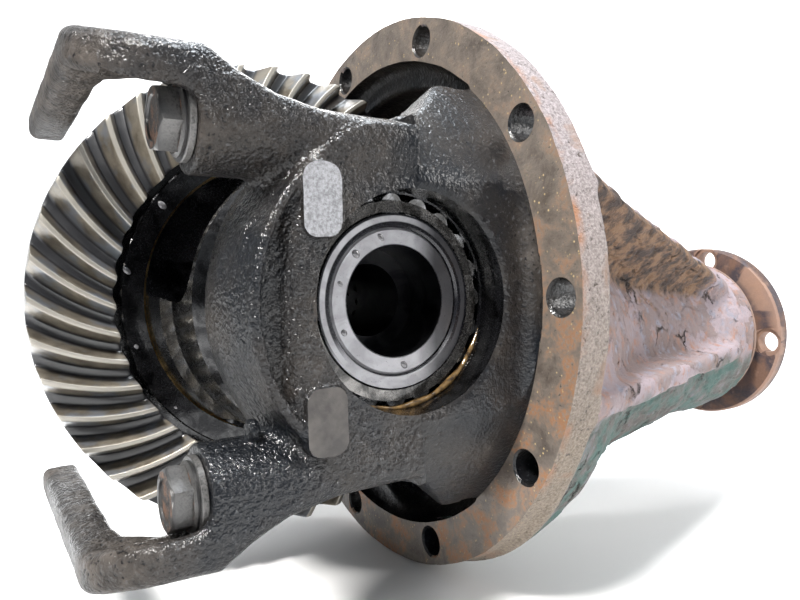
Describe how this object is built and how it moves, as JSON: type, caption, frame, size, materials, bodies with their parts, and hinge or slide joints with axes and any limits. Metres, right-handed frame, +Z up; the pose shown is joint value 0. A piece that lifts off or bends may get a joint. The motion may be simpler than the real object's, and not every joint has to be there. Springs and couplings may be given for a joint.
{
  "type": "differential gear assembly",
  "caption": "Hypoid differential and carrier: drilled flange, ribbed nose with companion flange, bearing pedestals with hooked caps, spiral ring gear on its case.",
  "frame": {"origin": "centre of the mounting flange's machined face", "axes": "+X forward along the nose towards the companion flange; Y along the axle axis, with the ring gear on the +Y side; +Z up"},
  "size_m": [0.4087, 0.274, 0.274],
  "materials": {
    "oily_cast_iron": "oil-wet casting, rust on the outside of the flange and nose",
    "bolt_steel": "oily black bolt steel",
    "bearing_steel": "ground bearing steel",
    "cage_steel": "pressed steel",
    "gear_steel": "lapped gear steel with an oil film",
    "ground_steel": "ground steel",
    "shim_brass": "bronze-coloured thrust face",
    "seal_rubber": "moulded rubber",
    "rusty_steel": "rusted forging"
  },
  "bodies": {
    "carrier": {"carrier_housing": "oily_cast_iron", "near_bearing_cap": "oily_cast_iron", "far_bearing_cap": "oily_cast_iron", "cap_bolts": "bolt_steel", "cap_washers": "bolt_steel", "near_bearing_cup": "bearing_steel", "far_bearing_cup": "bearing_steel", "head_bearing_cup": "bearing_steel", "tail_bearing_cup": "bearing_steel", "oil_seal": "seal_rubber"},
    "case": {"differential_case": "oily_cast_iron", "ring_gear": "gear_steel", "ring_gear_bolts": "bolt_steel", "near_bearing_cone": "bearing_steel", "far_bearing_cone": "bearing_steel", "near_side_shim": "shim_brass", "far_side_shim": "shim_brass", "near_side_washer": "shim_brass", "far_side_washer": "shim_brass", "upper_spider_washer": "shim_brass", "lower_spider_washer": "shim_brass", "cross_shaft": "ground_steel", "lock_pin": "ground_steel"},
    "pinion_shaft": {"pinion": "gear_steel", "head_bearing_cone": "bearing_steel", "tail_bearing_cone": "bearing_steel", "depth_shim": "shim_brass", "crush_spacer": "ground_steel", "oil_slinger": "ground_steel", "companion_flange": "rusty_steel", "dust_deflector": "rusty_steel", "pinion_washer": "bolt_steel", "pinion_nut": "bolt_steel"},
    "near_cage": {"near_bearing_cage": "cage_steel", "near_bearing_rollers": "bearing_steel"},
    "far_cage": {"far_bearing_cage": "cage_steel", "far_bearing_rollers": "bearing_steel"},
    "head_cage": {"head_bearing_cage": "cage_steel", "head_bearing_rollers": "bearing_steel"},
    "tail_cage": {"tail_bearing_cage": "cage_steel", "tail_bearing_rollers": "bearing_steel"},
    "near_gear": {"near_side_gear": "gear_steel"},
    "far_gear": {"far_side_gear": "gear_steel"},
    "upper_spider": {"upper_spider_gear": "gear_steel"},
    "lower_spider": {"lower_spider_gear": "gear_steel"}
  },
  "joints": [
    {"name": "case_spin", "type": "hinge", "parent": "carrier", "child": "case", "pos_m": [-0.052, 0, 0], "axis": [0, 1, 0], "continuous": true},
    {"name": "pinion_spin", "type": "hinge", "parent": "carrier", "child": "pinion_shaft", "pos_m": [0.1, -0.025, -0.032], "axis": [1, 0, 0], "continuous": true},
    {"name": "near_cage_spin", "type": "hinge", "parent": "carrier", "child": "near_cage", "pos_m": [-0.052, 0, 0], "axis": [0, 1, 0], "continuous": true},
    {"name": "far_cage_spin", "type": "hinge", "parent": "carrier", "child": "far_cage", "pos_m": [-0.052, 0, 0], "axis": [0, 1, 0], "continuous": true},
    {"name": "head_cage_spin", "type": "hinge", "parent": "carrier", "child": "head_cage", "pos_m": [0.1, -0.025, -0.032], "axis": [1, 0, 0], "continuous": true},
    {"name": "tail_cage_spin", "type": "hinge", "parent": "carrier", "child": "tail_cage", "pos_m": [0.1, -0.025, -0.032], "axis": [1, 0, 0], "continuous": true},
    {"name": "near_side_gear_spin", "type": "hinge", "parent": "case", "child": "near_gear", "pos_m": [-0.052, 0, 0], "axis": [0, 1, 0], "continuous": true},
    {"name": "far_side_gear_spin", "type": "hinge", "parent": "case", "child": "far_gear", "pos_m": [-0.052, 0, 0], "axis": [0, 1, 0], "continuous": true},
    {"name": "upper_spider_spin", "type": "hinge", "parent": "case", "child": "upper_spider", "pos_m": [-0.052, -0.01, 0], "axis": [0.5, 0, 0.866], "continuous": true},
    {"name": "lower_spider_spin", "type": "hinge", "parent": "case", "child": "lower_spider", "pos_m": [-0.052, -0.01, 0], "axis": [0.5, 0, 0.866], "continuous": true}
  ],
  "couplings": [
    {"joint": "pinion_spin", "follows": "case_spin", "ratio": -3.7273},
    {"joint": "near_cage_spin", "follows": "case_spin", "ratio": 0.43952},
    {"joint": "far_cage_spin", "follows": "case_spin", "ratio": 0.43952},
    {"joint": "head_cage_spin", "follows": "case_spin", "ratio": -1.5896},
    {"joint": "tail_cage_spin", "follows": "case_spin", "ratio": -1.5673},
    {"joint": "far_side_gear_spin", "follows": "near_side_gear_spin", "ratio": -1},
    {"joint": "upper_spider_spin", "follows": "near_side_gear_spin", "ratio": 1.6},
    {"joint": "lower_spider_spin", "follows": "near_side_gear_spin", "ratio": -1.6}
  ]
}
